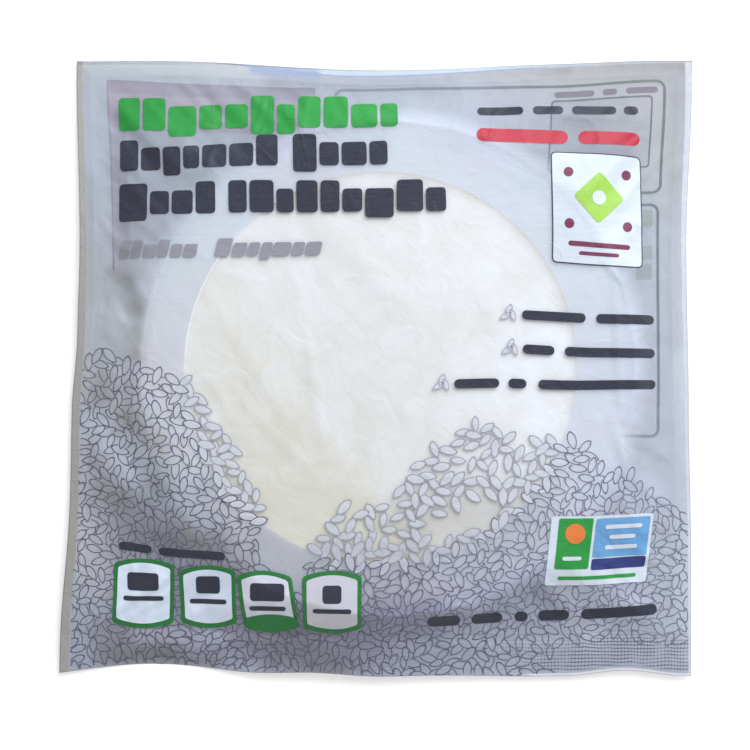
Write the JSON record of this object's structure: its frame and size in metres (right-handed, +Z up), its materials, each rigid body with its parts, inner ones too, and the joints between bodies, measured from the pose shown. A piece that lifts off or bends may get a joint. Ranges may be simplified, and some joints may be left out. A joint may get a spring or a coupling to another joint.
{
  "type": "rice paper wrapper pack",
  "caption": "Sealed, square clear film pouch, printed with a frosted ground around a round window, lying flat with a stack of round dried rice paper wrappers inside.",
  "frame": {"origin": "on the surface the pouch rests on, under the middle of its outline", "axes": "+X to the right of the printed front, +Y to its top, +Z up out of the front"},
  "size_m": [0.199, 0.194, 0.0148],
  "materials": {
    "printed_film": "satin",
    "rice_paper": "matte"
  },
  "bodies": {
    "root": {"wrapper_pouch": "printed_film"}
  },
  "joints": []
}
